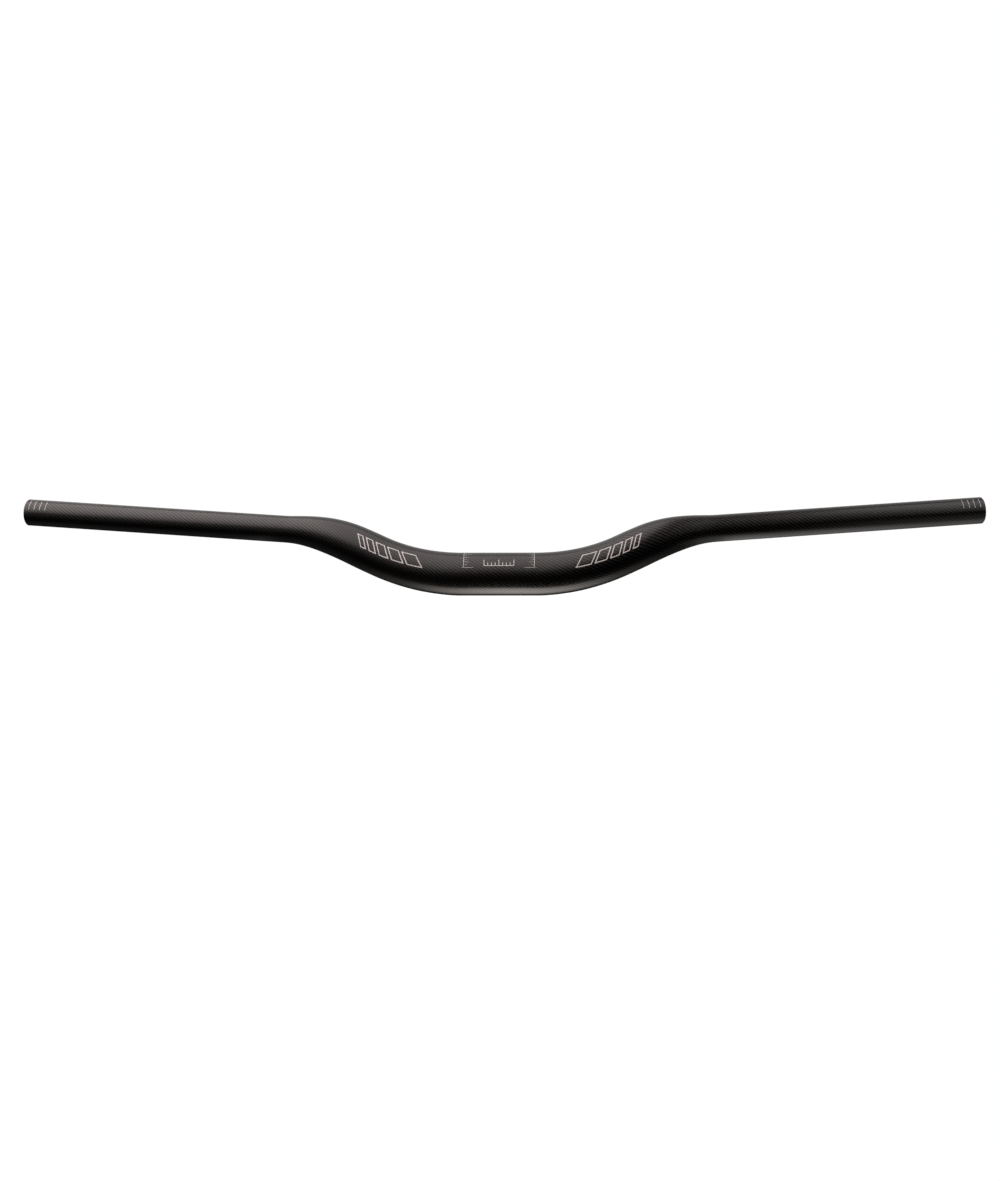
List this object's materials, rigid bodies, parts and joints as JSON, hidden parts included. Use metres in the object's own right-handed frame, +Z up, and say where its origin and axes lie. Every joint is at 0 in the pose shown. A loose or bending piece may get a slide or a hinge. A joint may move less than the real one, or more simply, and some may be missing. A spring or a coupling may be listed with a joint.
{
  "type": "riser handlebar",
  "caption": "One-piece hollow riser handlebar for a bicycle: a thick straight centre for the stem, tapering bends that climb to the sides, and straight grips swept up and back.",
  "frame": {"origin": "centre of the stem clamp, on the axis of the tube", "axes": "+X along the clamp to the right grip as seen from the front, +Y back towards the rider, +Z up"},
  "size_m": [0.8032, 0.0753, 0.0817],
  "materials": {
    "carbon": "carbon fibre laminate, fine twill weave under a satin clear coat",
    "print": "pale grey printed alignment and trimming marks"
  },
  "bodies": {
    "root": {"handlebar": "carbon"}
  },
  "joints": []
}
